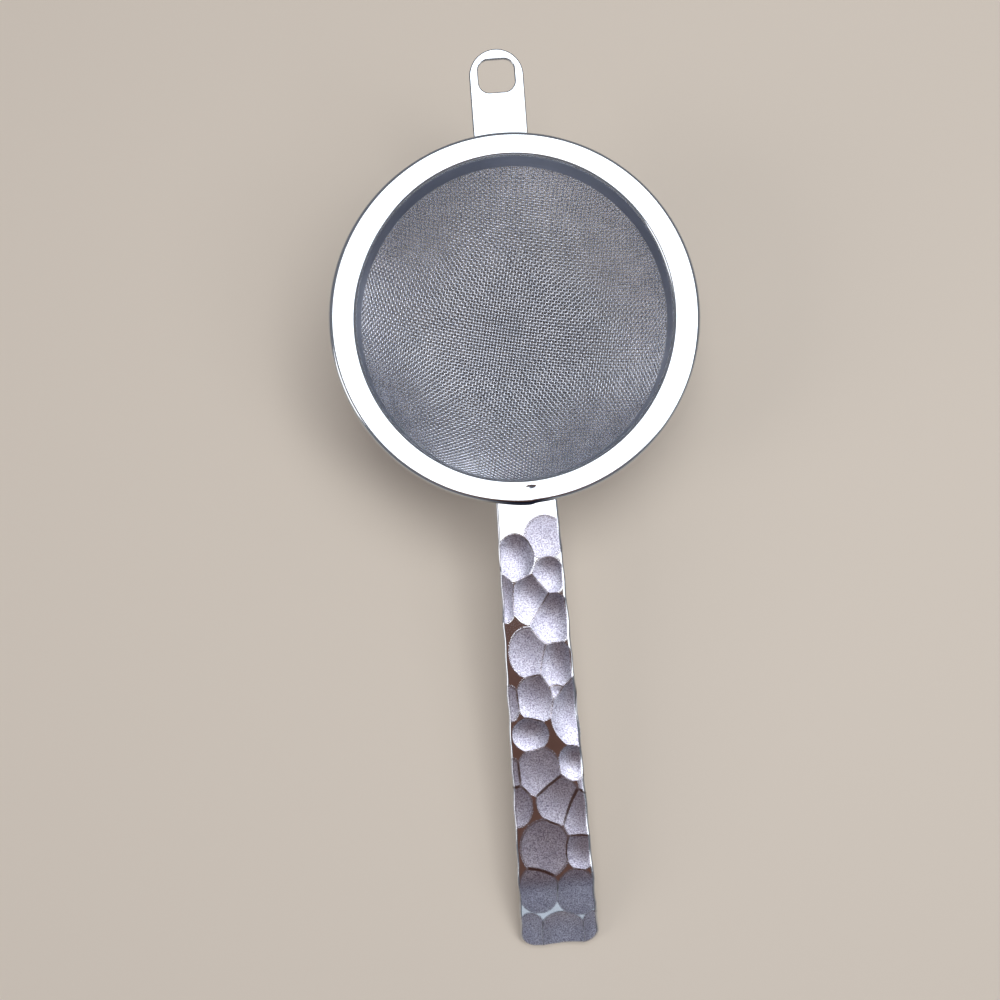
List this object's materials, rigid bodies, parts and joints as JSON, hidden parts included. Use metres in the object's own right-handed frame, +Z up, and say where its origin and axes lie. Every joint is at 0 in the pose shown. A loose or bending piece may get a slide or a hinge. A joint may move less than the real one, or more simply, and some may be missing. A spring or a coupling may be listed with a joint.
{
  "type": "tea strainer",
  "caption": "Hand-held tea strainer: a round woven wire bowl in a flat rim, with a hammered strap handle turned down at its end and a tab with a hanging hole.",
  "frame": {"origin": "on the table, under the middle of the whole strainer, which stands on the bottom of its bowl and the tip of its handle", "axes": "+Z up from the table; +Y toward the hanging tab and -Y toward the handle; +X to the right when the handle points at the viewer. The rim's plane is tipped 10.4 degrees about X, so the handle side is lower."},
  "size_m": [0.07, 0.1678, 0.0377],
  "materials": {
    "polished_steel": "polished",
    "pressed_steel": "satin",
    "wire_cloth": "satin",
    "fine_cloth": "satin",
    "hammered_steel": "satin",
    "weld_metal": "matte"
  },
  "bodies": {
    "root": {"rim_ring": "polished_steel", "clamp_ring": "pressed_steel", "inner_mesh": "wire_cloth", "outer_mesh": "fine_cloth", "handle": "hammered_steel", "hanging_tab": "polished_steel", "handle_weld": "weld_metal", "tab_weld": "weld_metal"}
  },
  "joints": []
}
